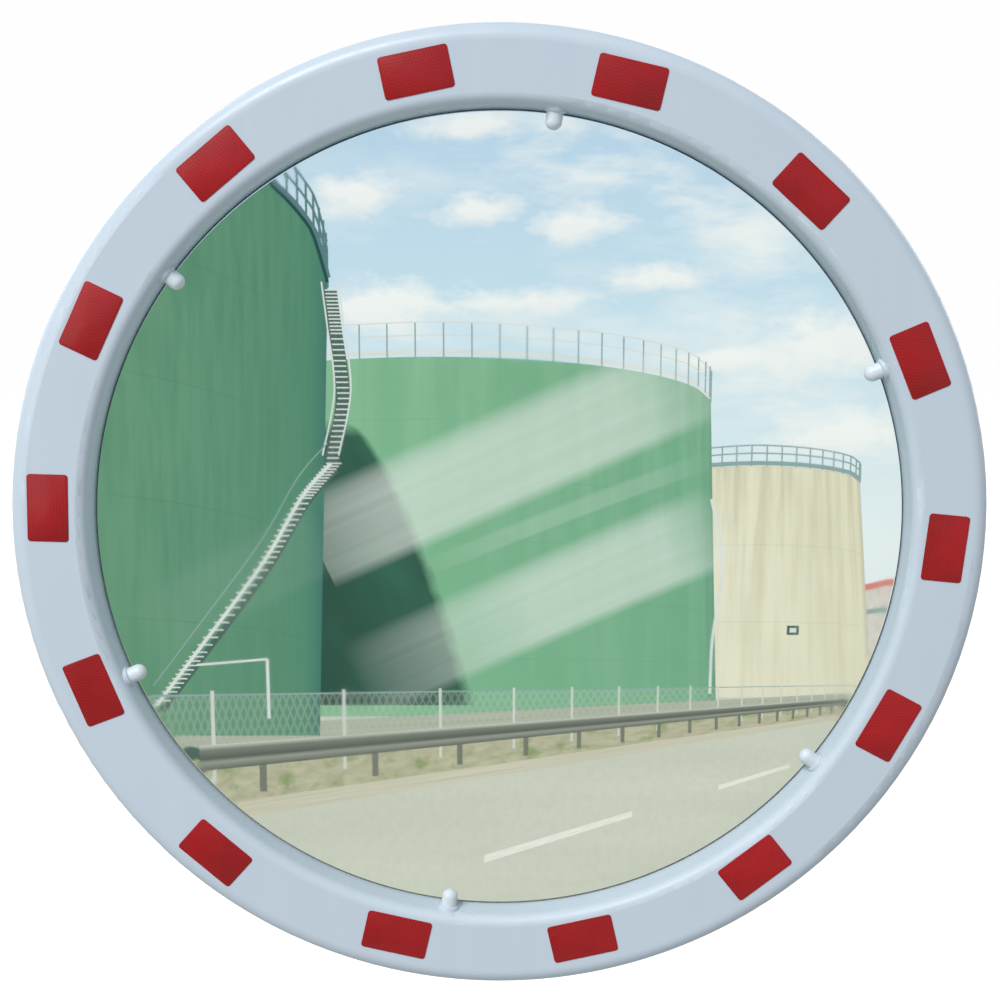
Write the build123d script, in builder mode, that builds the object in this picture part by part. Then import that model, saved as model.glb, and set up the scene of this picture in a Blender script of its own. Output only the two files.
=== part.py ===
"""Round convex traffic mirror, 600 mm, with its frame, back shell and adjustable post bracket.

Frame: the origin is on the axis of the post that the bracket clamps, level with the centre of
the mirror. +Z is up along the post, the mirror faces -Y, and +X is to the right as one looks
into the mirror. All sizes are in millimetres. Clock angles run clockwise from the top, as one
looks into the mirror.
"""

import math
import os

from build123d import *

# --- Driving dimensions -----------------------------------------------------------------------

# Mirror pane, a spherical cap of acrylic
PANE_D = 600.0
PANE_T = 3.0
DOME_R = 1500.0  # radius of curvature of the front surface
PANE_SET_BACK = 21.0  # rim of the pane behind the front face of the frame
PANE_GAP = 0.8  # between the pane's edge and the frame's inner wall
PANE_EDGE_ROUND = 1.0
SEAL_T = 3.0  # between the pane's edge and the frame's shelf
SEAL_W = 9.0
SEAL_INSET = 2.0  # from the edge of the pane

# Frame ring, a moulded channel open at the back
FRAME_D = 720.0
FRAME_WALL = 3.0
SKIRT_DRAFT = 1.5  # degrees
THROAT_DRAFT = 7.5  # degrees
OUTER_ROUND = 12.0
THROAT_ROUND = 8.0
LEDGE_ROUND = 1.0
LEDGE_W = 14.0  # width of the shelf that carries the pane

# Pegs that hold the pane from the front, and the swellings of the frame that they push into
PEG_COUNT = 6
PEG_START = 7.5  # clock angle
PEG_R = 6.0
PEG_REACH = 12.0  # from the edge of the pane to a peg's tip
PEG_STEM_R = 3.4
PEG_BARB_R = 4.6
PEG_BARB_L = 4.0
PEG_LIFT = 0.2  # between a peg and the pane
SOCKET_TIP_R = 7.5
SOCKET_PROUD = 2.0  # of the frame's inner wall
SOCKET_COVER = 2.0  # from the front face to the widest part of the swelling
SOCKET_ROUND = 1.5

# Reflective patches on the front face
PATCH_L = 50.0
PATCH_W = 30.0
PATCH_T = 0.5
PATCH_CORNER = 2.0
PATCH_START = 15.5  # clock angle
# How far off its even place each patch was stuck: clock angle, distance outwards, turn
PATCH_DRIFT = [
    (0.5, 1, 3),
    (1, -2, 0),
    (1, -3, 1),
    (0, -2, -3),
    (-1, -2, -1),
    (-0.5, -3, 2),
    (-1, -3, 1.5),
    (-1.5, -3, 1),
    (-0.5, 1, -1),
    (1, -3, -1),
    (0, 1, 1),
    (-1, 0, 1.5),
    (-1.5, 0, 2),
    (0, 0, 1.5),
]

# Back shell
SHELL_T = 3.0
SHELL_EDGE_ROUND = 1.5
DISH_DEPTH = 32.0  # from the frame's back edge to the flat pad
DISH_RIM_R = 292.0
PAD_R = 122.0
SHELL_ROUND = 10.0
SPIGOT_H = 8.0  # lip that locates the shell inside the frame's skirt
SPIGOT_T = 2.5
SPIGOT_GAP = 0.5
RIB_COUNT = 12
RIB_START = 15.0  # clock angle
RIB_T = 4.0
RIB_RUN = 30.0  # outwards from the wall, along a radius
WEEP_ANGLES = (172.5, 187.5)
WEEP_R = 3.0
WEEP_INSET = 14.0  # from the outer edge

# Screws that hold the shell to the frame
SCREW_COUNT = 12
SCREW_R = 2.0
SCREW_L = 16.0
SCREW_HEAD_R = 4.5
SCREW_HEAD_H = 3.0
SCREW_HEAD_ROUND = 1.6
SCREW_RECESS = (4.6, 1.0, 1.8)  # span, width and depth of the cross
SCREW_BOSS_R = 5.5

# Bracket on the back of the head
STIFFENER_R = 100.0
STIFFENER_T = 3.0
PLATE_SIDE = 150.0
PLATE_T = 4.0
PLATE_CORNER = 14.0
HEAD_BOLT_SPAN = 110.0
TILT_REACH = 29.0  # from the plate to the tilt axis
TILT_EAR_FOOT = 64.0
EAR_T = 5.0
EAR_END_R = 18.0
WELD = 3.0

# Knuckle, an eye at each end with crossed bores
EYE_R = 17.0
EYE_W = 30.0
EYE_SIDE_GAP = 0.3
KNUCKLE_PITCH = 50.0  # from the pan axis to the tilt axis
KNUCKLE_BAR = 24.0
KNUCKLE_BAR_ROUND = 6.0
EYE_ROUND = 1.0

# Post clamp
POST_D = 76.1
JAW_T = 5.0
JAW_H = 90.0
JAW_PART_GAP = 8.0  # between the two jaws' flanges
JAW_HALF_W = 74.0
JAW_BEND_R = 3.0
JAW_CORNER = 8.0
PAN_REACH = 32.0  # from the jaw to the pan axis
PAN_EAR_FOOT = 52.0
CLAMP_BOLT_X = 60.0
CLAMP_BOLT_Z = 28.0
CLAMP_TRAVEL = 8.0  # how far the rear jaw backs off, its nuts still on the bolts

# Fasteners: thread radius, width across flats, heights of head and nut, and the washer
M8 = {"r": 4.0, "flats": 13.0, "head": 5.3, "nut": 8.0, "washer_r": 8.0, "washer_t": 1.6}
M10 = {"r": 5.0, "flats": 17.0, "head": 6.4, "nut": 10.0, "washer_r": 10.0, "washer_t": 2.0}
HOLE_GAP = 0.5  # round a bolt that only fastens
PIVOT_GAP = 0.05  # round a bolt that a piece turns on
THREAD_GAP = 0.05  # in a nut
LOCK_COLLAR = 2.5  # round collar on top of a lock nut
PAST_NUT = 4.0  # thread beyond a nut
END_CHAMFER = 0.8
HEX_CROWN = 0.95  # flat top of a hexagon, as a share of its width
CARRIAGE_HEAD_R = 9.5
CARRIAGE_HEAD_H = 4.6
CARRIAGE_NECK_GAP = 0.2

# --- Places that follow from them ---------------------------------------------------------------

pane_r = PANE_D / 2
frame_r = FRAME_D / 2
post_r = POST_D / 2
jaw_r = post_r + JAW_T
clevis_gap = EYE_W + 2 * EYE_SIDE_GAP
clevis_half = clevis_gap / 2 + EAR_T

pan_y = -(jaw_r + PAN_REACH)
tilt_y = pan_y - KNUCKLE_PITCH
plate_back_y = tilt_y - TILT_REACH
shell_back_y = plate_back_y - PLATE_T
frame_back_y = shell_back_y - DISH_DEPTH
frame_depth = PANE_SET_BACK + PANE_T + SEAL_T + FRAME_WALL
face_y = frame_back_y - frame_depth
stiffener_y = shell_back_y - SHELL_T - STIFFENER_T

skirt_slope = math.tan(math.radians(SKIRT_DRAFT))
throat_slope = math.tan(math.radians(THROAT_DRAFT))
ledge_y = frame_back_y - FRAME_WALL
seat_r = pane_r + PANE_GAP
throat_r = seat_r + (ledge_y - face_y) * throat_slope
skirt_r = frame_r - frame_depth * skirt_slope
face_mid_r = (throat_r + THROAT_ROUND + skirt_r - OUTER_ROUND) / 2

dome_centre_y = face_y + PANE_SET_BACK + math.sqrt(DOME_R**2 - pane_r**2)
dome_back_r = DOME_R - PANE_T


def dome_y(radius, dome_r=DOME_R):
    """Depth of the pane's front, or of its back, at a distance from the mirror's axis."""
    return dome_centre_y - math.sqrt(dome_r**2 - radius**2)


peg_tip_r = pane_r - PEG_REACH
peg_y = dome_y(peg_tip_r + PEG_R / 2) - PEG_LIFT - PEG_R
socket_tip_place = seat_r + (ledge_y - peg_y) * throat_slope - SOCKET_PROUD
socket_root_place = throat_r + THROAT_ROUND
socket_root_r = peg_y - face_y - SOCKET_COVER

flange_back_y = frame_back_y + SHELL_T
spigot_r = frame_r - FRAME_WALL - SPIGOT_H * skirt_slope - SPIGOT_GAP

jaw_face_y = JAW_PART_GAP / 2 + JAW_T
ear_foot_y = math.sqrt(jaw_r**2 - (PAN_EAR_FOOT / 2) ** 2) - JAW_T / 2

FROM_BOTTOM = (Align.CENTER, Align.CENTER, Align.MIN)
FROM_TOP = (Align.CENTER, Align.CENTER, Align.MAX)


def clock(degrees):
    """Unit vectors at a clock angle: away from the mirror's axis, and clockwise around it."""
    a = math.radians(degrees)
    return Vector(math.sin(a), 0, math.cos(a)), Vector(math.cos(a), 0, -math.sin(a))


def evenly(count, start=0.0):
    """Clock angles of evenly spaced places."""
    return [start + k * 360 / count for k in range(count)]


def facing(degrees, radius, y, normal_y=-1):
    """Plane at a clock angle that faces the front, or the back; its x runs around."""
    radial, around = clock(degrees)
    return Plane(origin=radial * radius + Vector(0, y, 0), x_dir=around, z_dir=(0, normal_y, 0))


def outward(degrees, radius, y):
    """Plane at a clock angle that faces away from the mirror's axis; its x runs around."""
    radial, around = clock(degrees)
    return Plane(origin=radial * radius + Vector(0, y, 0), x_dir=around, z_dir=radial)


def half_section(degrees):
    """Plane through the mirror's axis at a clock angle; its x is the radius and its y is Y."""
    radial, around = clock(degrees)
    return Plane(origin=(0, 0, 0), x_dir=radial, z_dir=around * -1)


def behind(y):
    """Upright plane at a depth that faces the post; its x is -X and its y is Z."""
    return Plane(origin=(0, y, 0), x_dir=(-1, 0, 0), z_dir=(0, 1, 0))


def rims(part, radius):
    """Circular edges of one radius, from the front of the object to the back."""
    circles = part.edges().filter_by(GeomType.CIRCLE)
    return circles.filter_by(lambda edge: abs(edge.radius - radius) < 0.01).sort_by(Axis.Y)


# --- Mirror head --------------------------------------------------------------------------------

with BuildPart() as frame_ring:
    with BuildSketch(Plane.XY):
        with BuildLine():
            FilletPolyline(
                (frame_r, frame_back_y),
                (skirt_r, face_y),
                (throat_r, face_y),
                (seat_r, ledge_y),
                (seat_r - LEDGE_W, ledge_y),
                radius=[OUTER_ROUND, THROAT_ROUND, LEDGE_ROUND],
            )
            offset(amount=FRAME_WALL, side=Side.RIGHT)
        make_face()
    revolve(axis=Axis.Y)
    split(bisect_by=Plane.XZ.offset(-frame_back_y), keep=Keep.TOP)
    for angle in evenly(SCREW_COUNT):
        with BuildSketch(facing(angle, face_mid_r, frame_back_y)):
            Circle(SCREW_BOSS_R)
        extrude(amount=frame_depth - FRAME_WALL / 2)
    for angle in evenly(PEG_COUNT, PEG_START):
        with BuildSketch(outward(angle, socket_tip_place, peg_y)):
            Circle(SOCKET_TIP_R)
        with BuildSketch(outward(angle, socket_root_place, peg_y)):
            Circle(socket_root_r)
        loft()
    fillet(rims(frame_ring, SOCKET_TIP_R), SOCKET_ROUND)
    with Locations([facing(angle, face_mid_r, frame_back_y) for angle in evenly(SCREW_COUNT)]):
        Cylinder(SCREW_R + THREAD_GAP, SCREW_L, align=FROM_BOTTOM, mode=Mode.SUBTRACT)
    with Locations([outward(angle, peg_tip_r, peg_y) for angle in evenly(PEG_COUNT, PEG_START)]):
        Cylinder(
            PEG_STEM_R + THREAD_GAP,
            socket_root_place - peg_tip_r + PEG_BARB_L,
            align=FROM_BOTTOM,
            mode=Mode.SUBTRACT,
        )
frame_ring.part.label = "frame_ring"

with BuildPart() as mirror_pane:
    with BuildSketch(Plane.XY):
        with BuildLine():
            RadiusArc((0, dome_y(0)), (pane_r, dome_y(pane_r)), -DOME_R)
            Line((pane_r, dome_y(pane_r)), (pane_r, dome_y(pane_r, dome_back_r)))
            RadiusArc((pane_r, dome_y(pane_r, dome_back_r)), (0, dome_y(0, dome_back_r)), dome_back_r)
            Line((0, dome_y(0, dome_back_r)), (0, dome_y(0)))
        make_face()
    revolve(axis=Axis.Y)
    fillet(rims(mirror_pane, pane_r)[0], PANE_EDGE_ROUND)
mirror_pane.part.label = "mirror_pane"

seal_out_r = pane_r - SEAL_INSET
seal_in_r = seal_out_r - SEAL_W
with BuildPart() as pane_seal:
    with BuildSketch(Plane.XY):
        with BuildLine():
            inner_corner = (seal_in_r, dome_y(seal_in_r, dome_back_r))
            outer_corner = (seal_out_r, dome_y(seal_out_r, dome_back_r))
            RadiusArc(inner_corner, outer_corner, -dome_back_r)
            Polyline(outer_corner, (seal_out_r, ledge_y), (seal_in_r, ledge_y), inner_corner)
        make_face()
    revolve(axis=Axis.Y)
pane_seal.part.label = "pane_seal"

stem_start = socket_tip_place - peg_tip_r
barb_start = socket_root_place - peg_tip_r
with BuildPart() as peg:
    with BuildSketch(Plane.XZ):
        with BuildLine():
            CenterArc((0, PEG_R), PEG_R, -90, 90)
            Polyline(
                (PEG_R, PEG_R),
                (PEG_R, stem_start),
                (PEG_STEM_R, stem_start),
                (PEG_STEM_R, barb_start),
                (PEG_BARB_R, barb_start),
                (PEG_STEM_R / 2, barb_start + PEG_BARB_L),
                (0, barb_start + PEG_BARB_L),
                (0, 0),
            )
        make_face()
    revolve(axis=Axis.Z)

pegs = []
for number, angle in enumerate(evenly(PEG_COUNT, PEG_START), start=1):
    with BuildPart() as retaining_peg:
        with Locations(outward(angle, peg_tip_r, peg_y)):
            add(peg.part)
    retaining_peg.part.label = f"retaining_peg_{number}"
    pegs.append(retaining_peg.part)

patches = []
for number, even_angle in enumerate(evenly(len(PATCH_DRIFT), PATCH_START), start=1):
    slip, shift, turn = PATCH_DRIFT[number - 1]
    with BuildPart() as reflector:
        with BuildSketch(facing(even_angle + slip, face_mid_r + shift, face_y)):
            RectangleRounded(PATCH_L, PATCH_W, PATCH_CORNER, rotation=turn)
        extrude(amount=PATCH_T)
    reflector.part.label = f"reflector_{number}"
    patches.append(reflector.part)

with BuildPart() as back_shell:
    with BuildSketch(Plane.XY):
        with BuildLine():
            FilletPolyline(
                (frame_r, flange_back_y),
                (DISH_RIM_R, flange_back_y),
                (PAD_R, shell_back_y),
                (0, shell_back_y),
                radius=[SHELL_ROUND, SHELL_ROUND],
            )
            offset(amount=SHELL_T, side=Side.LEFT)
        make_face()
    revolve(axis=Axis.Y)
    fillet(rims(back_shell, frame_r)[-1], SHELL_EDGE_ROUND)
    with BuildSketch(Plane.XZ.offset(-frame_back_y)):
        Circle(spigot_r)
        Circle(spigot_r - SPIGOT_T, mode=Mode.SUBTRACT)
    extrude(amount=SPIGOT_H)
    for angle in evenly(RIB_COUNT, RIB_START):
        with BuildSketch(half_section(angle)):
            with BuildLine():
                Polyline(
                    (PAD_R, shell_back_y),
                    (PAD_R + RIB_RUN, shell_back_y),
                    (DISH_RIM_R + RIB_RUN, flange_back_y),
                    (DISH_RIM_R + RIB_RUN, flange_back_y - SHELL_T / 2),
                    (DISH_RIM_R, flange_back_y - SHELL_T / 2),
                    (PAD_R, shell_back_y - SHELL_T / 2),
                    close=True,
                )
            make_face()
        extrude(amount=RIB_T / 2, both=True)
    with Locations([facing(angle, face_mid_r, flange_back_y) for angle in evenly(SCREW_COUNT)]):
        Cylinder(SCREW_R + HOLE_GAP, SHELL_T, align=FROM_BOTTOM, mode=Mode.SUBTRACT)
    with Locations([facing(angle, frame_r - WEEP_INSET, flange_back_y) for angle in WEEP_ANGLES]):
        Cylinder(WEEP_R, SHELL_T, align=FROM_BOTTOM, mode=Mode.SUBTRACT)
    with BuildSketch(behind(stiffener_y)):
        with GridLocations(HEAD_BOLT_SPAN, HEAD_BOLT_SPAN, 2, 2):
            Circle(M8["r"] + HOLE_GAP)
    extrude(until=Until.LAST, mode=Mode.SUBTRACT)
back_shell.part.label = "back_shell"

with BuildPart() as stiffener_plate:
    with BuildSketch(behind(stiffener_y)):
        Circle(STIFFENER_R)
        with GridLocations(HEAD_BOLT_SPAN, HEAD_BOLT_SPAN, 2, 2):
            Circle(M8["r"] + HOLE_GAP, mode=Mode.SUBTRACT)
    extrude(amount=STIFFENER_T)
stiffener_plate.part.label = "stiffener_plate"

span, width, depth = SCREW_RECESS
with BuildPart() as pan_head_screw:
    Cylinder(SCREW_HEAD_R, SCREW_HEAD_H, align=FROM_BOTTOM)
    fillet(pan_head_screw.edges().group_by(Axis.Z)[-1], SCREW_HEAD_ROUND)
    with BuildSketch(Plane.XY.offset(SCREW_HEAD_H)):
        Rectangle(span, width)
        Rectangle(width, span)
    extrude(amount=-depth, mode=Mode.SUBTRACT)
    Cylinder(SCREW_R, SCREW_L, align=FROM_TOP)
    chamfer(pan_head_screw.edges().group_by(Axis.Z)[0], END_CHAMFER)

with BuildPart() as rim_screws:
    with Locations([facing(angle, face_mid_r, flange_back_y, 1) for angle in evenly(SCREW_COUNT)]):
        add(pan_head_screw.part)
rim_screws.part.label = "rim_screws"

# --- Bracket pieces -----------------------------------------------------------------------------


def ear_outline(foot, reach):
    """Ear rooted just behind the y axis, with a round end about the pivot and its hole."""
    with BuildSketch() as outline:
        Rectangle(1, foot, align=(Align.MAX, Align.CENTER))
        with Locations((reach, 0)):
            Circle(EAR_END_R)
        make_hull()
        with Locations((reach, 0)):
            Circle(M10["r"] + HOLE_GAP / 2, mode=Mode.SUBTRACT)
    return outline.sketch


with BuildPart() as head_bracket:
    with BuildSketch(behind(shell_back_y)):
        RectangleRounded(PLATE_SIDE, PLATE_SIDE, PLATE_CORNER)
        with GridLocations(HEAD_BOLT_SPAN, HEAD_BOLT_SPAN, 2, 2):
            Circle(M8["r"] + HOLE_GAP, mode=Mode.SUBTRACT)
    extrude(amount=PLATE_T)
    for x in (clevis_gap / 2, -clevis_half):
        with BuildSketch(Plane(origin=(x, plate_back_y, 0), x_dir=(0, 1, 0), z_dir=(1, 0, 0))):
            add(ear_outline(TILT_EAR_FOOT, TILT_REACH))
        extrude(amount=EAR_T)
    feet = head_bracket.edges().filter_by_position(Axis.Y, plate_back_y - 0.01, plate_back_y + 0.01)
    fillet(feet.filter_by_position(Axis.X, -clevis_half - 0.01, clevis_half + 0.01), WELD)
head_bracket.part.label = "head_bracket"

with BuildPart() as knuckle:
    with BuildSketch(Plane.XY.offset(-EYE_W / 2)):
        with Locations((0, pan_y)):
            Circle(EYE_R)
    extrude(amount=EYE_W)
    with BuildSketch(Plane.YZ.offset(-EYE_W / 2)):
        with Locations((tilt_y, 0)):
            Circle(EYE_R)
    extrude(amount=EYE_W)
    fillet(knuckle.edges().filter_by(GeomType.CIRCLE), EYE_ROUND)
    with BuildSketch(Plane.XZ.offset(-pan_y)):
        RectangleRounded(KNUCKLE_BAR, KNUCKLE_BAR, KNUCKLE_BAR_ROUND)
    extrude(amount=KNUCKLE_PITCH)
    with Locations((0, pan_y, 0)):
        Cylinder(M10["r"] + PIVOT_GAP, EYE_W, mode=Mode.SUBTRACT)
    with Locations((0, tilt_y, 0)):
        Cylinder(M10["r"] + PIVOT_GAP, EYE_W, rotation=(0, 90, 0), mode=Mode.SUBTRACT)
knuckle.part.label = "knuckle"


def jaw_strip(side):
    """Section of one half of the clamp, bent round the post: side is -1 at the front, 1 behind."""
    with BuildSketch() as strip:
        Circle(jaw_r)
        with Locations((0, -side * (jaw_r - JAW_PART_GAP / 2))):
            Rectangle(2 * jaw_r, 2 * jaw_r, mode=Mode.SUBTRACT)
        with Locations((0, side * (jaw_face_y - JAW_T / 2))):
            Rectangle(2 * JAW_HALF_W, JAW_T)
        Circle(post_r, mode=Mode.SUBTRACT)
        bends = strip.vertices().filter_by(lambda corner: abs(corner.X) < jaw_r)
        fillet(bends.filter_by(lambda corner: abs(corner.Y) > jaw_face_y - 0.01), JAW_BEND_R)
        fillet(bends.filter_by(lambda corner: abs(corner.Y) < jaw_face_y - 0.01), JAW_BEND_R + JAW_T)
    return strip.sketch


with BuildPart() as front_jaw:
    with BuildSketch(Plane.XY.offset(-JAW_H / 2)):
        add(jaw_strip(-1))
    extrude(amount=JAW_H)
    fillet(front_jaw.edges().filter_by(Axis.Y), JAW_CORNER)
    for z in (clevis_gap / 2, -clevis_half):
        with BuildSketch(Plane(origin=(0, -ear_foot_y, z), x_dir=(0, -1, 0), z_dir=(0, 0, 1))):
            add(ear_outline(PAN_EAR_FOOT, -pan_y - ear_foot_y))
        extrude(amount=EAR_T)
    Cylinder(post_r, JAW_H, mode=Mode.SUBTRACT)
    arcs = front_jaw.edges().filter_by(GeomType.CIRCLE)
    feet = arcs.filter_by(lambda edge: abs(edge.radius - jaw_r) < 0.01)
    fillet(feet.filter_by_position(Axis.Z, -clevis_half - 0.01, clevis_half + 0.01), WELD)
    with BuildSketch(Plane.XZ.offset(jaw_face_y)):
        with GridLocations(2 * CLAMP_BOLT_X, 2 * CLAMP_BOLT_Z, 2, 2):
            Rectangle(2 * (M8["r"] + CARRIAGE_NECK_GAP), 2 * (M8["r"] + CARRIAGE_NECK_GAP))
    extrude(amount=-JAW_T, mode=Mode.SUBTRACT)
front_jaw.part.label = "front_jaw"

with BuildPart() as rear_jaw:
    with BuildSketch(Plane.XY.offset(-JAW_H / 2)):
        add(jaw_strip(1))
    extrude(amount=JAW_H)
    fillet(rear_jaw.edges().filter_by(Axis.Y), JAW_CORNER)
    with BuildSketch(behind(jaw_face_y)):
        with GridLocations(2 * CLAMP_BOLT_X, 2 * CLAMP_BOLT_Z, 2, 2):
            Circle(M8["r"] + HOLE_GAP)
    extrude(amount=-JAW_T, mode=Mode.SUBTRACT)
rear_jaw.part.label = "rear_jaw"

# --- Bracket fasteners --------------------------------------------------------------------------


def hexagon(size, height):
    """Hexagonal prism on the origin, with its top corners cut at 30 degrees."""
    crown_r = HEX_CROWN * size["flats"] / 2
    with BuildPart() as prism:
        with BuildSketch():
            RegularPolygon(size["flats"] / 2, 6, major_radius=False)
        extrude(amount=height)
        Cone(crown_r + height * math.sqrt(3), crown_r, height, align=FROM_BOTTOM, mode=Mode.INTERSECT)
    return prism.part


def hex_bolt(size, shank):
    """Bolt with its head above the origin and its shank below."""
    with BuildPart() as bolt:
        add(hexagon(size, size["head"]))
        Cylinder(size["r"], shank, align=FROM_TOP)
        chamfer(bolt.edges().group_by(Axis.Z)[0], END_CHAMFER)
    return bolt.part


def carriage_bolt(size, shank):
    """Bolt with a domed head above the origin, and a square neck and round shank below."""
    with BuildPart() as bolt:
        with BuildSketch(Plane.XZ):
            with BuildLine():
                dome = (CARRIAGE_HEAD_R**2 + CARRIAGE_HEAD_H**2) / (2 * CARRIAGE_HEAD_H)
                RadiusArc((CARRIAGE_HEAD_R, 0), (0, CARRIAGE_HEAD_H), -dome)
                Polyline((0, CARRIAGE_HEAD_H), (0, 0), (CARRIAGE_HEAD_R, 0))
            make_face()
        revolve(axis=Axis.Z)
        Box(2 * size["r"], 2 * size["r"], JAW_T, align=FROM_TOP)
        Cylinder(size["r"], shank, align=FROM_TOP)
        chamfer(bolt.edges().group_by(Axis.Z)[0], END_CHAMFER)
    return bolt.part


def lock_nut(size):
    """Nut on the origin, with the round collar of its locking ring on top."""
    with BuildPart() as nut:
        Cylinder(HEX_CROWN * size["flats"] / 2, size["nut"], align=FROM_BOTTOM)
        fillet(nut.edges().group_by(Axis.Z)[-1], END_CHAMFER)
        add(hexagon(size, size["nut"] - LOCK_COLLAR))
        Cylinder(size["r"] + THREAD_GAP, size["nut"], align=FROM_BOTTOM, mode=Mode.SUBTRACT)
    return nut.part


def washer(size):
    """Washer on the origin."""
    with BuildPart() as disc:
        Cylinder(size["washer_r"], size["washer_t"], align=FROM_BOTTOM)
        Cylinder(size["r"] + HOLE_GAP / 2, size["washer_t"], align=FROM_BOTTOM, mode=Mode.SUBTRACT)
    return disc.part


stack_t = STIFFENER_T + SHELL_T + PLATE_T
stack_end = M8["washer_t"] + M8["nut"] + PAST_NUT

with BuildPart() as head_bolts:
    with Locations(Plane.XZ.offset(-stiffener_y)):
        with GridLocations(HEAD_BOLT_SPAN, HEAD_BOLT_SPAN, 2, 2):
            add(hex_bolt(M8, stack_t + stack_end))
head_bolts.part.label = "head_bolts"

with BuildPart() as head_washers:
    with Locations(behind(plate_back_y)):
        with GridLocations(HEAD_BOLT_SPAN, HEAD_BOLT_SPAN, 2, 2):
            add(washer(M8))
head_washers.part.label = "head_washers"

with BuildPart() as head_nuts:
    with Locations(behind(plate_back_y + M8["washer_t"])):
        with GridLocations(HEAD_BOLT_SPAN, HEAD_BOLT_SPAN, 2, 2):
            add(lock_nut(M8))
head_nuts.part.label = "head_nuts"

with BuildPart() as clamp_bolts:
    with Locations(Plane.XZ.offset(jaw_face_y)):
        with GridLocations(2 * CLAMP_BOLT_X, 2 * CLAMP_BOLT_Z, 2, 2):
            add(carriage_bolt(M8, 2 * jaw_face_y + stack_end + CLAMP_TRAVEL))
clamp_bolts.part.label = "clamp_bolts"

with BuildPart() as clamp_washers:
    with Locations(behind(jaw_face_y)):
        with GridLocations(2 * CLAMP_BOLT_X, 2 * CLAMP_BOLT_Z, 2, 2):
            add(washer(M8))
clamp_washers.part.label = "clamp_washers"

with BuildPart() as clamp_nuts:
    with Locations(behind(jaw_face_y + M8["washer_t"])):
        with GridLocations(2 * CLAMP_BOLT_X, 2 * CLAMP_BOLT_Z, 2, 2):
            add(lock_nut(M8))
clamp_nuts.part.label = "clamp_nuts"

# Each pivot has the same bolt, washers and nut, made about Z and then laid along its axis
pivot_axes = {
    "pan": Plane(origin=(0, pan_y, 0)),
    "tilt": Plane(origin=(0, tilt_y, 0), x_dir=(0, 1, 0), z_dir=(1, 0, 0)),
}
under_head = clevis_half + M10["washer_t"]
pivot_pieces = []
for motion, axis_plane in pivot_axes.items():
    with BuildPart() as pivot_bolt:
        with Locations(axis_plane.offset(under_head)):
            add(hex_bolt(M10, 2 * under_head + M10["nut"] + PAST_NUT))
    pivot_bolt.part.label = f"{motion}_bolt"
    with BuildPart() as pivot_washers:
        with Locations(axis_plane.offset(clevis_half), axis_plane.offset(-under_head)):
            add(washer(M10))
    pivot_washers.part.label = f"{motion}_washers"
    with BuildPart() as pivot_nut:
        with Locations(-axis_plane.offset(-under_head)):
            add(lock_nut(M10))
    pivot_nut.part.label = f"{motion}_nut"
    pivot_pieces += [pivot_bolt.part, pivot_washers.part, pivot_nut.part]

# --- STEP files ---------------------------------------------------------------------------------

single_pieces = [
    frame_ring.part,
    mirror_pane.part,
    pane_seal.part,
    back_shell.part,
    stiffener_plate.part,
    rim_screws.part,
    head_bracket.part,
    knuckle.part,
    front_jaw.part,
    rear_jaw.part,
    head_bolts.part,
    head_washers.part,
    head_nuts.part,
    clamp_bolts.part,
    clamp_washers.part,
    clamp_nuts.part,
]
os.makedirs("parts", exist_ok=True)
for piece in single_pieces + pegs + patches + pivot_pieces:
    export_step(piece, f"parts/{piece.label}.step")
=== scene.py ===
# %% [markdown]
# # A convex traffic mirror
#
# A round mirror stands at a blind bend and shows the road around it. This lesson dresses its
# finished design model: a domed acrylic mirror in a white moulded frame with red reflective
# patches, on a galvanised bracket that clamps to a post.
#
# The design model comes first, because every place and size is read from it. Its box is measured now.

# %% Load the design model
import math

import bmesh
import bpy
from mathutils import Matrix, Vector


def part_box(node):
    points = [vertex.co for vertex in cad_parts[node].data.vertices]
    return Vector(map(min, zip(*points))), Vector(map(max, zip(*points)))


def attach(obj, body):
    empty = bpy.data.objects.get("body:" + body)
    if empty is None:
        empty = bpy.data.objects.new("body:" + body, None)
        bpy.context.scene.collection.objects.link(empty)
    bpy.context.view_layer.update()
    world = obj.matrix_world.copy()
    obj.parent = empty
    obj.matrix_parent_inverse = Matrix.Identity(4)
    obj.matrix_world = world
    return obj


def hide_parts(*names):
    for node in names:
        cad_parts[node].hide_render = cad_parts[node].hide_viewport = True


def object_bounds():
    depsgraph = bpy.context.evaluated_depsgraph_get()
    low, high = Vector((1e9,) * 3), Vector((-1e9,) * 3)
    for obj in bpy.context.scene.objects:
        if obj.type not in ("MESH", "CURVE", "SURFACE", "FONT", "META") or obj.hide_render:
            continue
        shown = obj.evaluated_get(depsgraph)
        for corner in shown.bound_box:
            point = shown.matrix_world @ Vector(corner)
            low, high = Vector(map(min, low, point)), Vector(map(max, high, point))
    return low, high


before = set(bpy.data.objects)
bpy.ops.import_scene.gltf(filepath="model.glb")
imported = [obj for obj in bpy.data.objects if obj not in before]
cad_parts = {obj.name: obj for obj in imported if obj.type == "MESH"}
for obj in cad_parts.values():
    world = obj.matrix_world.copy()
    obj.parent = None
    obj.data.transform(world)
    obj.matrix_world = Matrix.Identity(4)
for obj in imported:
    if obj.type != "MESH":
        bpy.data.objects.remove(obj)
cad_box = [list(corner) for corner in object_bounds()]
MM = 0.001
ring_low, ring_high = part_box("frame_ring")
face_y = ring_low.y
pane_low, pane_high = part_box("mirror_pane")
pane_r = pane_high.z
print("nodes", len(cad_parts))
print("frame radius", round(ring_high.x, 4), "pane radius", round(pane_r, 4))

# %% [markdown]
# ## The camera
#
# The mirror is looked at from just above its middle and rather close, as someone on a ladder
# sees it, so the top of the frame looks a little nearer than the bottom. The camera comes
# early, because the street that the mirror shows is laid out from where the eye stands.

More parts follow.
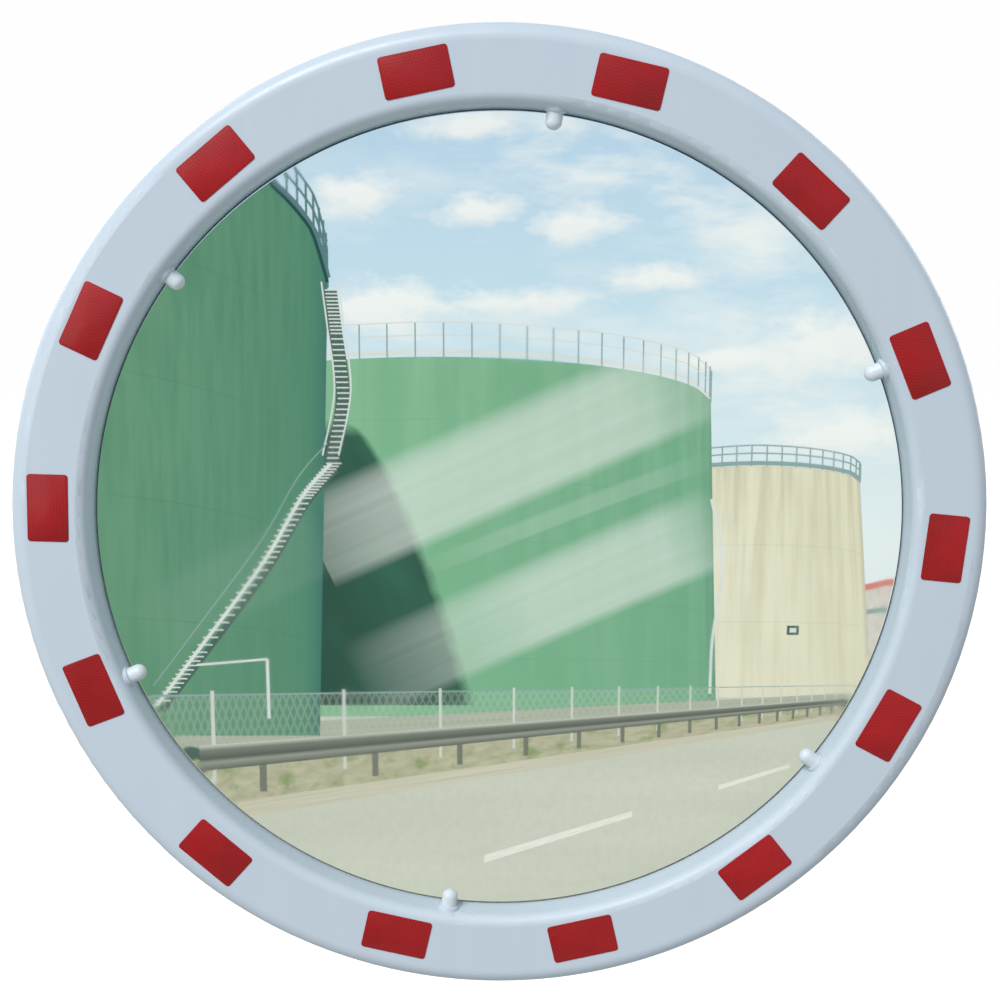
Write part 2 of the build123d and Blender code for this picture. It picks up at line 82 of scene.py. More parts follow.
# %% Place the camera
WIDEST_DEPTH = 20 * MM  # the frame is widest this far behind its face
EYE_FROM_MIDDLE = Vector((-2.5, -1198.5, 229.1)) * MM
AIM_FROM_MIDDLE = Vector((0.2, 0, 17.6)) * MM
LENS = 58.97  # on Blender's 36 mm sensor

middle = Vector((0, face_y + WIDEST_DEPTH, 0))
eye = middle + EYE_FROM_MIDDLE
camera = bpy.data.objects.new("camera", bpy.data.cameras.new("camera"))
camera.data.lens = LENS
camera.location = eye
camera.rotation_mode = "QUATERNION"
camera.rotation_quaternion = (middle + AIM_FROM_MIDDLE - eye).to_track_quat("-Z", "Y")
bpy.context.scene.collection.objects.link(camera)
bpy.context.scene.camera = camera
bpy.context.scene.view_settings.view_transform = "Standard"
print("eye", [round(c, 3) for c in eye])

# %% [markdown]
# ## Writing shaders as sums
#
# A finish in Blender is a net of nodes. Drawn by hand it is quick to read, but in a script the
# same net turns into pages of links. Here a small class wraps a node's output, so that an
# ordinary sum such as `grain * 0.2 + 0.5` adds the Math nodes. Every other node comes from one
# method that takes its type, its settings and what goes into its sockets.

# %% Define sums on sockets
class Value:
    """An output of a node. Arithmetic on it adds Math nodes."""

    def __init__(self, finish, socket):
        self.finish = finish
        self.socket = socket

    def math(self, operation, *others):
        return self.finish.node("Math", {"operation": operation}, dict(enumerate((self, *others))))

    def __add__(self, other):
        return self.math("ADD", other)

    def __sub__(self, other):
        return self.math("SUBTRACT", other)

    def __rsub__(self, other):
        return self.finish.node("Math", {"operation": "SUBTRACT"}, {0: other, 1: self})

    def __mul__(self, other):
        return self.math("MULTIPLY", other)

    def __truediv__(self, other):
        return self.math("DIVIDE", other)

    def between(self, low, high):
        """0 below low, 1 above high, and a straight slope between; high may be the smaller."""
        return self.finish.node(
            "MapRange", {"clamp": True}, {"Value": self, "From Min": low, "From Max": high}
        )


class Finish:
    """A material, or the world, with its net of nodes."""

    def __init__(self, name, owner=None):
        self.material = owner or bpy.data.materials.new(name)
        self.material.use_nodes = True
        self.nodes = self.material.node_tree.nodes
        self.links = self.material.node_tree.links
        self.place = None

    def node(self, kind, settings=None, inputs=None, output=0):
        """Adds a node, sets its settings, fills its sockets, and gives back one output."""
        made = self.nodes.new("ShaderNode" + kind)
        for key, value in (settings or {}).items():
            if key == "stops":
                self.fill_ramp(made.color_ramp, value)
            else:
                setattr(made, key, value)
        self.fill(made, inputs or {})
        return Value(self, made.outputs[output])

    def fill_ramp(self, ramp, stops):
        """Sets a colour ramp's stops, each a position and a colour."""
        for position, colour in stops[2:]:
            ramp.elements.new(position)
        for element, (position, colour) in zip(ramp.elements, stops):
            element.position = position
            element.color = (*colour, 1)

    def fill(self, node, inputs):
        """Sets or links a node's sockets."""
        for key, value in inputs.items():
            socket = node.inputs[key]
            if isinstance(value, Value):
                self.links.new(value.socket, socket)
            elif socket.type == "RGBA" and len(value) == 3:
                socket.default_value = (*value, 1)
            else:
                socket.default_value = value

    def surface(self, inputs):
        """Sets or links sockets of the material's main shader."""
        self.fill(self.nodes["Principled BSDF"], inputs)
        return self.material

    def position(self):
        """Place on the object, in metres, at rest."""
        self.place = self.place or self.node("TexCoord", output="Object")
        return self.place

    def axis(self, name):
        """One coordinate of the place on the object."""
        return self.node("SeparateXYZ", None, {0: self.position()}, output=name)

    def noise(self, per_metre, detail=3, roughness=0.5, stretch=(1, 1, 1), at=None):
        """Soft noise around 0.5, as fine as a number of features per metre."""
        place = self.node("VectorMath", {"operation": "MULTIPLY"}, {0: at or self.position(), 1: stretch})
        inputs = {"Vector": place, "Scale": per_metre, "Detail": detail, "Roughness": roughness}
        return self.node("TexNoise", None, inputs)

    def mix(self, factor, a, b):
        """Colour a where the factor is 0 and b where it is 1."""
        return self.node("Mix", {"data_type": "RGBA"}, {0: factor, 6: a, 7: b}, output=2)

    def bump(self, height, distance, strength=1.0):
        """Tilts the surface's normal as if it stood this much higher where height is 1."""
        return self.node("Bump", None, {"Strength": strength, "Distance": distance, "Height": height})


def tone(*screen):
    """A colour as it looks on a screen, 0 to 255, turned into the amounts of light it stands for."""
    return tuple(((c / 255 + 0.055) / 1.055) ** 2.4 if c > 10 else c / 255 / 12.92 for c in screen)


print("sockets can be added, subtracted, multiplied and divided")

# %% [markdown]
# ## White moulded plastic
#
# The frame and its pegs are injection moulded in a cool white. Up close such a moulding is
# never one white: its gloss has a faint orange peel, rain leaves pale streaks under the top
# edge, and dust settles where water stands. A smooth shader over those three is enough. An
# image of dirt would repeat around the ring, so noise in the object's own space is used.

# %% Make the moulded plastics
def moulded(name, colour, grain_per_metre, grain_height, gloss):
    """Moulded plastic with orange peel, rain streaks and a little settled dust."""
    finish = Finish(name)
    x = finish.axis("X")
    z = finish.axis("Z")
    radius = (x * x + z * z).math("SQRT")
    streaks = finish.noise(60, 4, 0.6, (1, 1, 0.12)).between(0.45, 0.75)
    cloudy = finish.noise(7, 3).between(0.3, 0.7)
    dust = radius.between(pane_r + 12 * MM, pane_r + 2 * MM) * z.between(0.05, -0.25)
    speckle = finish.noise(900, 2).between(0.62, 0.72)
    clean = finish.mix(cloudy * 0.35, colour, tuple(c * 0.93 for c in colour))
    rained = finish.mix(streaks * 0.10, clean, tone(232, 236, 238))
    dusty = finish.mix(dust * 0.10 + speckle * 0.04, rained, tone(150, 150, 142))
    peel = finish.noise(grain_per_metre, 2)
    return finish.surface({
        "Base Color": dusty,
        "Roughness": streaks * 0.12 + dust * 0.2 + cloudy * 0.04 + gloss,
        "Normal": finish.bump(peel, grain_height),
    })


frame_white = moulded("frame_white", tone(206, 220, 233), 350, 0.04 * MM, 0.30)
peg_white = moulded("peg_white", tone(226, 236, 244), 500, 0.03 * MM, 0.26)
shell_white = moulded("shell_white", tone(206, 216, 226), 1400, 0.12 * MM, 0.45)
print("plastics", frame_white.name, peg_white.name, shell_white.name)


# %% Paint the moulded parts
SHARP = math.radians(32)


def dress(material, *names):
    """Gives design nodes a finish and smooth shading."""
    for name in names:
        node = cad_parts[name]
        node.data.materials.clear()
        node.data.materials.append(material)
        node.data.shade_smooth()
        node.data.set_sharp_from_angle(angle=SHARP)


pegs = [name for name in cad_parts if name.startswith("retaining_peg")]
dress(frame_white, "frame_ring")
dress(peg_white, *pegs)
dress(shell_white, "back_shell")
print("painted", 2 + len(pegs), "mouldings")

# %% [markdown]
# ## Red reflective patches
#
# Fourteen patches of reflective film run round the face. Such film holds a honeycomb of tiny
# sealed cells, seen as a fine net of paler lines, and its cut edge is rounded and slightly
# lifted. A flat box with a red colour misses both. Here each patch is a thin plate with
# rounded corners and a rolled top edge, and a pattern of hexagons is worked out on it.

# %% Make the red film
CELL = 2.6 * MM


def honeycomb(finish, across, up, pitch):
    """1 on the walls between hexagonal cells and 0 inside them."""
    root3 = math.sqrt(3)

    def nearest(shift):
        dx = (across / pitch + shift).math("PINGPONG", 0.5)
        dy = (up / (pitch * root3) + shift).math("PINGPONG", 0.5) * root3
        return (dx * dx + dy * dy).math("SQRT")

    return nearest(0.0).math("MINIMUM", nearest(0.5)).between(0.40, 0.50)


def red_film():
    """Sealed honeycomb film: deep red cells with paler walls under a clear top layer."""
    finish = Finish("red_film")
    uv = finish.node("TexCoord", output="UV")
    across = finish.node("SeparateXYZ", None, {0: uv}, output="X")
    up = finish.node("SeparateXYZ", None, {0: uv}, output="Y")
    walls = honeycomb(finish, across, up, CELL)
    faded = finish.noise(18, 3).between(0.35, 0.7)
    cells = finish.mix(faded, tone(172, 10, 22), tone(146, 6, 16))
    return finish.surface({
        "Base Color": finish.mix(walls * 0.14, cells, tone(214, 92, 92)),
        "Roughness": finish.noise(120, 2) * 0.12 + 0.34,
        "Specular IOR Level": 0.3,
        "Normal": finish.bump(walls, 0.05 * MM, 0.6),
        "Coat Weight": 0.12,
        "Coat Roughness": 0.12,
    })


film = red_film()
print("honeycomb pitch", CELL)

# %% [markdown]
# ## Building meshes
#
# Most of the pieces that are made here are turned shapes or plates, so helpers build them.
# One turns a profile about an axis, as a lathe does. Another draws a rectangle's outline with
# rounded corners, for plates. A third makes an object with the piece's name from a mesh.

# %% Define the mesh helpers
def as_piece(name, mesh, material, body, slot, *stands_for):
    """Makes a piece from a mesh: it rides on a body and may stand for design nodes."""
    mesh.shade_smooth()
    piece = bpy.data.objects.new(name, mesh)
    bpy.context.scene.collection.objects.link(piece)
    mesh.materials.append(material)
    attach(piece, body)
    if stands_for:
        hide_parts(*stands_for)
    return piece


def turned(bm, profile, sides, place):
    """Turns a profile of (radius, height) points; a radius may be a function of the angle."""
    rings = []
    for radius, height in profile:
        if radius == 0:
            rings.append([bm.verts.new(place @ Vector((0, 0, height)))] * sides)
            continue
        ring = []
        for k in range(sides):
            a = math.tau * k / sides
            r = radius(a) if callable(radius) else radius
            ring.append(bm.verts.new(place @ Vector((r * math.cos(a), r * math.sin(a), height))))
        rings.append(ring)
    for ring, following in zip(rings, rings[1:]):
        for k in range(sides):
            corners = (ring[k - 1], ring[k], following[k], following[k - 1])
            bm.faces.new(dict.fromkeys(corners))


def rounded_outline(width, height, radius, steps=5):
    """A rectangle's outline with rounded corners, anticlockwise, about its middle."""
    points = []
    for corner, (sx, sy) in enumerate(((1, 1), (-1, 1), (-1, -1), (1, -1))):
        for step in range(steps + 1):
            a = math.pi / 2 * (corner + step / steps)
            x = sx * (width / 2 - radius) + radius * math.cos(a)
            y = sy * (height / 2 - radius) + radius * math.sin(a)
            points.append(Vector((x, y, 0)))
    return points


print("lathe and plate helpers ready")

# %% [markdown]
# ## Laying the patches
#
# Every patch was stuck on by hand, so each sits a little off. The design model already knows
# where. Its corners give the middle, and the turn follows from the direction of the long
# side, so the new plates need no list of places of their own.

# %% Lay the patches
PATCH_CORNER = 2.5 * MM
PATCH_ROLL = 0.2 * MM
PATCH_SHARP = math.radians(50)


def patch_frame(name):
    """Middle, long direction, short direction and sizes of a patch, from its design node."""
    points = [v.co.copy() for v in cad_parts[name].data.vertices]
    centre = sum(points, Vector()) / len(points)
    spread_x = sum((p.x - centre.x) ** 2 for p in points)
    spread_z = sum((p.z - centre.z) ** 2 for p in points)
    shared = sum((p.x - centre.x) * (p.z - centre.z) for p in points)
    turn = 0.5 * math.atan2(2 * shared, spread_x - spread_z)
    along = Vector((math.cos(turn), 0, math.sin(turn)))
    across = Vector((-math.sin(turn), 0, math.cos(turn)))
    length = 2 * max((p - centre).dot(along) for p in points)
    width = 2 * max((p - centre).dot(across) for p in points)
    return centre, along, across, length, width


def lay_patch(name):
    """A thin plate with rounded corners and a rolled front edge in place of a patch."""
    centre, along, across, length, width = patch_frame(name)
    low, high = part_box(name)
    bm = bmesh.new()
    layers = []
    rolled = ((0, PATCH_ROLL), (PATCH_ROLL / 3, PATCH_ROLL / 3), (PATCH_ROLL, 0))
    for inset, y in ((0, high.y), *((inset, low.y + behind) for inset, behind in rolled)):
        outline = rounded_outline(length - 2 * inset, width - 2 * inset, PATCH_CORNER - inset)
        flat = Vector((centre.x, y, centre.z))
        layers.append([bm.verts.new(flat + along * p.x + across * p.y) for p in outline])
    for layer, following in zip(layers, layers[1:]):
        for k in range(len(layer)):
            bm.faces.new((layer[k - 1], layer[k], following[k], following[k - 1]))
    bm.faces.new(layers[-1])
    bm.faces.new(list(reversed(layers[0])))
    bmesh.ops.recalc_face_normals(bm, faces=bm.faces)
    uv = bm.loops.layers.uv.new("UVMap")
    for face in bm.faces:
        for loop in face.loops:
            offset = loop.vert.co - centre
            loop[uv].uv = (offset.dot(along), offset.dot(across))
    mesh = bpy.data.meshes.new(name + "_film")
    bm.to_mesh(mesh)
    piece = as_piece(name + "_film", mesh, film, "head", "red_film", name)
    mesh.set_sharp_from_angle(angle=PATCH_SHARP)
    return piece


patches = [lay_patch(name) for name in sorted(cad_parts) if name.startswith("reflector")]
print("laid", len(patches), "patches")

# %% [markdown]
# ## The mirror
#
# The mirror is a dome of clear acrylic, 3 mm thick, silvered on its back. Seen from the front
# it is simply a curved mirror, so it is shaded as a polished metal with a very slight tint.
# What makes it look used is the faint film of road grime, heavier near the edge, which
# blurs the reflection here and there. The design model's dome is made of flat facets that
# would bend the reflection, so a much finer dome with the same radius replaces it.
#
# A real dome shows its own frame once more, as a thin pale band along the rim. Here the
# frame, pegs and patches are hidden from reflected rays, so the street runs up to the edge.

# %% Grind the dome
DOME_R = 1500 * MM
PANE_T = 3 * MM
EDGE_ROLL = 1 * MM
EDGE_STEPS = 4
DOME_RINGS = 72
DOME_SIDES = 288
BACK_SKIP = 6  # the back of the dome has one ring for this many of the front
DOME_SHARP = math.radians(40)

dome_middle = Vector((0, pane_low.y + DOME_R, 0))


def dome_rise(radius, sphere=DOME_R):
    """How far a point of the dome lies in front of the sphere's middle."""
    return math.sqrt(sphere * sphere - radius * radius)


rim_y = dome_middle.y - dome_rise(pane_r)
facing_front = Matrix.Translation(dome_middle) @ Matrix.Rotation(math.pi / 2, 4, "X")
front = [(pane_r - EDGE_ROLL) * k / DOME_RINGS for k in range(DOME_RINGS + 1)]
profile = [(r, dome_rise(r)) for r in front]
for step in range(1, EDGE_STEPS + 1):
    a = math.pi / 2 * step / EDGE_STEPS
    r = pane_r - EDGE_ROLL + EDGE_ROLL * math.sin(a)
    profile.append((r, dome_rise(pane_r - EDGE_ROLL) - EDGE_ROLL * (1 - math.cos(a))))
profile += [(r, dome_rise(r, DOME_R - PANE_T)) for r in (pane_r, *reversed(front[::BACK_SKIP]))]
bm = bmesh.new()
turned(bm, profile, DOME_SIDES, facing_front)
bmesh.ops.recalc_face_normals(bm, faces=bm.faces)
dome_mesh = bpy.data.meshes.new("mirror_dome")
bm.to_mesh(dome_mesh)
print("dome", len(dome_mesh.vertices), "vertices, rim plane at", round(rim_y, 4))


# %% Silver the dome
def silvered_acrylic():
    """A polished mirror with a thin, uneven film of grime."""
    finish = Finish("silvered_acrylic")
    x = finish.axis("X")
    z = finish.axis("Z")
    radius = (x * x + z * z).math("SQRT")
    rim = radius.between(pane_r - 25 * MM, pane_r)
    grime = finish.noise(14, 5, 0.65, (1, 1, 0.35)).between(0.48, 0.8)
    specks = finish.noise(420, 2).between(0.72, 0.80)
    return finish.surface({
        "Base Color": finish.mix(grime * 0.05 + rim * 0.06, tone(252, 253, 252), tone(214, 220, 218)),
        "Metallic": 1.0,
        "Roughness": grime * 0.03 + rim * 0.02 + specks * 0.05 + 0.012,
    })


dome = as_piece("mirror_dome", dome_mesh, silvered_acrylic(), "head", "mirror_acrylic", "mirror_pane")
dome_mesh.set_sharp_from_angle(angle=DOME_SHARP)
for seen_in_dome in (*(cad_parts[name] for name in ("frame_ring", *pegs)), *patches):
    seen_in_dome.visible_glossy = False

# %% [markdown]
# ## Galvanised, cast and plated metal
#
# The bracket is hot-dip galvanised: zinc freezes on steel in flat crystals, each a slightly
# different grey. A Voronoi pattern gives every crystal its own brightness and gloss. The cast
# knuckle shows the sand of its mould under the same zinc, bolts are bright zinc plate, and
# the small rim screws are plain stainless steel.

# %% Mix the metals
def crystals(finish, per_metre):
    """One random number for each crystal of a zinc coat."""
    inputs = {"Vector": finish.position(), "Scale": per_metre, "Randomness": 1.0}
    cells = finish.node("TexVoronoi", {"feature": "F1"}, inputs, output="Color")
    return finish.node("SeparateXYZ", None, {0: cells}, output="X")


def galvanised():
    """Hot-dip zinc: flat crystals, dull patches and a few white stains."""
    finish = Finish("galvanised")
    crystal = crystals(finish, 140)
    dull = finish.noise(22, 4).between(0.4, 0.7)
    bloom = finish.noise(55, 5, 0.6, (1, 1, 0.5)).between(0.60, 0.74)
    coat = finish.mix(crystal, tone(160, 164, 167), tone(186, 190, 193))
    coat = finish.mix(dull * 0.4, coat, tone(140, 144, 147))
    return finish.surface({
        "Base Color": finish.mix(bloom * 0.5, coat, tone(208, 210, 208)),
        "Metallic": 0.92 - bloom * 0.5,
        "Roughness": crystal * 0.16 + dull * 0.14 + bloom * 0.15 + 0.30,
        "Normal": finish.bump(finish.noise(260, 3) + crystal * 0.4, 0.05 * MM),
    })


def cast_iron():
    """Sand-cast iron under a dull coat of zinc."""
    finish = Finish("cast_iron")
    sand = finish.noise(1100, 3, 0.6)
    lumps = finish.noise(160, 2)
    coat = finish.mix(lumps.between(0.35, 0.65), tone(118, 122, 124), tone(150, 154, 156))
    return finish.surface({
        "Base Color": finish.mix(sand.between(0.6, 0.8) * 0.5, coat, tone(90, 92, 94)),
        "Metallic": 0.85,
        "Roughness": sand * 0.2 + 0.42,
        "Normal": finish.bump(sand * 0.5 + lumps, 0.25 * MM),
    })


def plated(name, colour, smear, gloss):
    """Bright plated or stainless steel with handling marks."""
    finish = Finish(name)
    marks = finish.noise(420, 4, 0.6, (1, 0.3, 1)).between(0.4, 0.7)
    return finish.surface({
        "Base Color": finish.mix(marks * 0.5, tone(*colour), tone(*smear)),
        "Metallic": 1.0,
        "Roughness": marks * 0.14 + gloss,
        "Normal": finish.bump(marks, 0.01 * MM),
    })


zinc = plated("zinc_plate", (206, 210, 214), (176, 182, 186), 0.24)
stainless = plated("stainless", (196, 196, 194), (160, 160, 158), 0.20)
dress(galvanised(), "stiffener_plate", "head_bracket", "front_jaw", "rear_jaw")
dress(cast_iron(), "knuckle")
dress(stainless, "rim_screws")
dress(zinc, *(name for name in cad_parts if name.endswith(("_washers", "_nuts", "_nut"))))
print("metals mixed")

# %% [markdown]
# ## Bolts with real threads
#
# A bolt's thread is what shows at every nut, so the bolts are cut anew. A lathe profile whose
# radius also changes with the angle gives both: a ridge that climbs one pitch for each turn
# makes the thread, and a hexagon's radius, cut back by a cone, makes the head.

# %% Cut the bolts
STEPS_PER_PITCH = 6
BOLT_SIDES = 36
THREAD_DEPTH = 0.6  # of the pitch
CHAMFER = 0.3 * MM
CROWN = 0.95  # of half the width over flats


class Bolt:
    """Sizes of a bolt: nominal radius, pitch, width over flats and height of its head."""

    def __init__(self, radius, pitch, flats, head):
        self.radius = radius * MM
        self.pitch = pitch * MM
        self.flats = flats * MM
        self.head = head * MM

    def shank(self, length, threaded):
        """Profile from the tip up to the head, with the thread on its lower stretch."""
        depth = THREAD_DEPTH * self.pitch
        steps = int(threaded / self.pitch * STEPS_PER_PITCH)
        rings = [(0, -length), (self.radius - depth - CHAMFER, -length)]
        for k in range(1, steps):
            height = k * self.pitch / STEPS_PER_PITCH
            grow = min(1.0, height / self.pitch)

            def ridge(angle, height=height, grow=grow):
                phase = (height / self.pitch - angle / math.tau) % 1
                return self.radius - depth + depth * grow * (1 - abs(2 * phase - 1))

            rings.append((ridge, height - length))
        return rings + [(self.radius, threaded - length), (self.radius, 0)]

    def hexagon(self):
        """Profile of a hexagonal head on the plane at height 0."""
        apothem = self.flats / 2
        crown = CROWN * apothem
        slope = math.sqrt(3)

        def side(height, inset=0.0):
            def radius(angle):
                turn = (angle + math.pi / 6) % (math.pi / 3) - math.pi / 6
                return min((apothem - inset) / math.cos(turn), crown + (self.head - height) * slope)

            return radius

        heights = [self.head * share for share in (0.04, 0.5, 0.7, 0.8, 0.9, 0.96)]
        sides = [(side(0, CHAMFER), 0), *((side(h), h) for h in heights)]
        return [*sides, (crown, self.head), (0, self.head)]


def domed(radius, height):
    """Profile of a carriage bolt's round head."""
    sphere = (radius * radius + height * height) / (2 * height)
    widest = math.asin(radius / sphere)
    arc = [widest * (1 - k / 10) for k in range(11)]
    return [(radius - 0.2 * MM, 0)] + [
        (sphere * math.sin(a) if k < 10 else 0, height - sphere * (1 - math.cos(a)))
        for k, a in enumerate(arc)
    ]


def solids_of(name, separate):
    """Boxes of a node's solids, told apart by which side of the middle they lie on."""
    groups = {}
    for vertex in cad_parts[name].data.vertices:
        point = vertex.co
        key = (point.x > 0, point.z > 0) if separate else 0
        groups.setdefault(key, []).append(point.copy())
    return [
        [Vector(choose(p[i] for p in points) for i in range(3)) for choose in (min, max)]
        for points in groups.values()
    ]


def cut_bolts(node, body, size, head, head_height, direction, threaded, separate):
    """Threaded bolts, as one piece, in place of a design node of bolts."""
    bm = bmesh.new()
    for low, high in solids_of(node, separate):
        length = abs((high - low).dot(direction)) - head_height
        centre = (low + high) / 2
        under_head = centre + direction * (abs((high - low).dot(direction)) / 2 - head_height)
        place = Matrix.Translation(under_head) @ direction.to_track_quat("Z", "X").to_matrix().to_4x4()
        turned(bm, size.shank(length, min(threaded, length - 1 * MM)) + head, BOLT_SIDES, place)
    bmesh.ops.recalc_face_normals(bm, faces=bm.faces)
    mesh = bpy.data.meshes.new(node + "_threaded")
    bm.to_mesh(mesh)
    as_piece(node + "_threaded", mesh, zinc, body, "zinc_fasteners", node)
    mesh.set_sharp_from_angle(angle=SHARP)
    print(node, len(mesh.vertices), "vertices")


M8 = Bolt(4.0, 1.25, 13.0, 5.3)
M10 = Bolt(5.0, 1.5, 17.0, 6.4)
CARRIAGE_R = 9.5 * MM
CARRIAGE_H = 4.6 * MM
HEAD_THREAD, CLAMP_THREAD, PIVOT_THREAD = 22 * MM, 30 * MM, 26 * MM
TO_FRONT, UP, SIDEWAYS = Vector((0, -1, 0)), Vector((0, 0, 1)), Vector((1, 0, 0))
carriage = domed(CARRIAGE_R, CARRIAGE_H)
cut_bolts("head_bolts", "head", M8, M8.hexagon(), M8.head, TO_FRONT, HEAD_THREAD, True)
cut_bolts("clamp_bolts", "post_bracket", M8, carriage, CARRIAGE_H, TO_FRONT, CLAMP_THREAD, True)
cut_bolts("pan_bolt", "post_bracket", M10, M10.hexagon(), M10.head, UP, PIVOT_THREAD, False)
cut_bolts("tilt_bolt", "head", M10, M10.hexagon(), M10.head, SIDEWAYS, PIVOT_THREAD, False)

# %% [markdown]
# ## The foam seal
#
# Between the dome's rim and the frame's ledge lies a ring of black closed-cell foam. Only a
# line of it can ever be seen, so the design solid stays, with a fine open grain.

# %% Press in the seal
def black_foam():
    """Closed-cell foam: matt black with fine pores."""
    finish = Finish("black_foam")
    pores = finish.noise(1500, 2)
    return finish.surface({
        "Base Color": finish.mix(pores, tone(22, 23, 24), tone(48, 49, 50)),
        "Roughness": pores * 0.2 + 0.75,
        "Normal": finish.bump(pores, 0.2 * MM),
    })


dress(black_foam(), "pane_seal")
print("seal pressed in")

# %% [markdown]
# ## A street for the mirror
#
# A mirror shows what stands in front of it, so an empty studio would leave it blank. A real
# model of a whole street would be slow, and an image would be a cheat that smears as soon as
# the eye moves. Instead, cut-outs stand around the mirror, as on a theatre stage, and only
# reflected rays can see them: the sky, storage tanks, a fence, a guard rail and a road.
#
# The helper below works the mirror backwards. It takes a place in the mirror's round
# picture, sends a ray from the eye to it, bounces the ray off the dome, and walks along it.
# Straight lines in the picture then stay straight. How far it walks only settles what hides
# what, so the distances below are those of a shallow stage, not of a real street.

# %% Work the mirror backwards
HORIZON = -0.41
VANISHING_X = 1.43
WIDE = 2.4  # sky, ground and road reach this far to the sides


def seen(x, z, distance):
    """The point, this far from the mirror, that the eye sees at a place in its picture.

    A place is given in radii of the mirror from its middle.
    """
    aim = Vector((x * pane_r, rim_y, z * pane_r))
    ray = (aim - eye).normalized()
    start = eye - dome_middle
    b = start.dot(ray)
    inside = max(0.0, b * b - start.length_squared + DOME_R * DOME_R)  # 0 past the sphere's outline
    hit = start + ray * (-b - math.sqrt(inside))
    normal = hit.normalized()
    return dome_middle + hit + (ray - 2 * ray.dot(normal) * normal) * distance


def cut_out(name, place, distance, material, columns=24, rows=12):
    """A sheet over the picture; place turns (0..1, 0..1) into a place in the picture."""
    bm = bmesh.new()
    uv = bm.loops.layers.uv.new("UVMap")
    grid = []
    for j in range(rows + 1):
        line = [(i / columns, j / rows) for i in range(columns + 1)]
        grid.append([(bm.verts.new(seen(*place(s, t), distance)), (s, t)) for s, t in line])
    for low, high in zip(grid, grid[1:]):
        for i in range(columns):
            corners = (low[i], low[i + 1], high[i + 1], high[i])
            face = bm.faces.new([vert for vert, _ in corners])
            for loop, (_, at) in zip(face.loops, corners):
                loop[uv].uv = at
    mesh = bpy.data.meshes.new(name)
    bm.to_mesh(mesh)
    mesh.materials.append(material)
    sheet = bpy.data.objects.new(name, mesh)
    bpy.context.scene.collection.objects.link(sheet)
    for rays in ("camera", "diffuse", "transmission", "shadow", "volume_scatter"):
        setattr(sheet, "visible_" + rays, False)
    return sheet


def ribbon(name, points, width, distance, material, bend=0, steps=24):
    """A band of one width along a line of places; bend smooths the line between them."""
    def at(s):
        spot = min(s, 0.99999) * (len(points) - 1)
        k = int(spot)
        f = spot - k
        if not bend:
            return [a + (b - a) * f for a, b in zip(points[k], points[k + 1])]
        p = [points[max(0, min(len(points) - 1, i))] for i in (k - 1, k, k + 1, k + 2)]
        return [
            0.5 * (2 * b + (c - a) * f + (2 * a - 5 * b + 4 * c - d) * f * f
                   + (3 * b - a - 3 * c + d) * f ** 3)
            for a, b, c, d in zip(*p)
        ]

    def place(s, t):
        x, z = at(s)
        x0, z0 = at(max(0, s - 0.01))
        x1, z1 = at(min(1, s + 0.01))
        length = math.hypot(x1 - x0, z1 - z0)
        side = width * (t - 0.5) / length
        return x - (z1 - z0) * side, z + (x1 - x0) * side

    return cut_out(name, place, distance, material, steps if bend else 2, 1)


def lit(name, paint, cover=None):
    """A backdrop paint that gives off its own light; cover says where it is solid."""
    finish = Finish(name)
    uv = finish.node("TexCoord", output="UV")
    s = finish.node("SeparateXYZ", None, {0: uv}, output="X")
    t = finish.node("SeparateXYZ", None, {0: uv}, output="Y")
    inputs = {"Base Color": (0, 0, 0), "Specular IOR Level": 0, "Emission Strength": 1.0}
    inputs["Emission Color"] = paint(finish, uv, s, t)
    if cover:
        inputs["Alpha"] = cover(finish, uv, s, t)
    finish.surface(inputs)
    finish.material.cycles.emission_sampling = "NONE"
    return finish.material


def graded(below, above):
    """A paint that changes from one colour to another on its way up."""
    return lambda finish, uv, s, t: finish.mix(t, tone(*below), tone(*above))


def plain(name, *rgb):
    """A backdrop paint with a little grain."""
    colour = tone(*rgb)
    dark = tuple(c * 0.8 for c in colour)
    return lit(name, lambda f, uv, s, t: f.mix(f.noise(9, 4, at=uv).between(0.3, 0.7), dark, colour))


print("the middle of the mirror shows what lies towards", [round(c, 2) for c in seen(0, 0, 1)])

# %% [markdown]
# ### Sky and ground
#
# The sky pales towards the horizon, and thin clouds lie across it. The ground is a pale road
# with verges, a kerb and dashed lines, all running to one vanishing point.

# %% Hang the sky and lay the road
SKY_AT = 60
CLOUDS_AT = 58
GROUND_AT = 54
VERGE_AT = 36
WALL_AT = 35.5
KERB_AT = 35
LINES_AT = 34


def sky_paint(finish, uv, s, t):
    """Blue above, pale below, with drawn-out clouds."""
    blue = finish.node("ValToRGB", {"stops": [
        (0.0, tone(233, 241, 238)), (0.16, tone(224, 238, 239)),
        (0.32, tone(199, 226, 238)), (0.5, tone(184, 213, 234)),
    ]}, {0: t})
    billow = finish.noise(9, 8, 0.62, (1.0, 1.9, 1), at=uv)
    patchy = finish.noise(3.3, 2, 0.5, at=uv).between(0.42, 0.62)
    cloud = billow.between(0.47, 0.66) * (patchy * 0.75 + 0.25)
    return finish.mix(cloud * 0.95, blue, tone(246, 248, 243))


def sky_place(s, t):
    """The sky starts a little below the horizon and reaches over the top of the picture."""
    return WIDE * (2 * s - 1), HORIZON - 0.05 + 2.9 * t


cut_out("sky", sky_place, SKY_AT, lit("sky", sky_paint), 48, 30)


def cloud_cover(finish, uv, s, t):
    """A ragged puff: dense in its middle, torn at its edge, flatter below."""
    dx = s - 0.5
    dz = t - 0.45
    away = (dx * dx + dz * dz).math("SQRT") * 2
    torn = finish.noise(0.28, 6, 0.62, (1, 1, 2.0)) - 0.5
    return (1 - away + torn * 1.6).between(0.15, 0.75) * 0.9


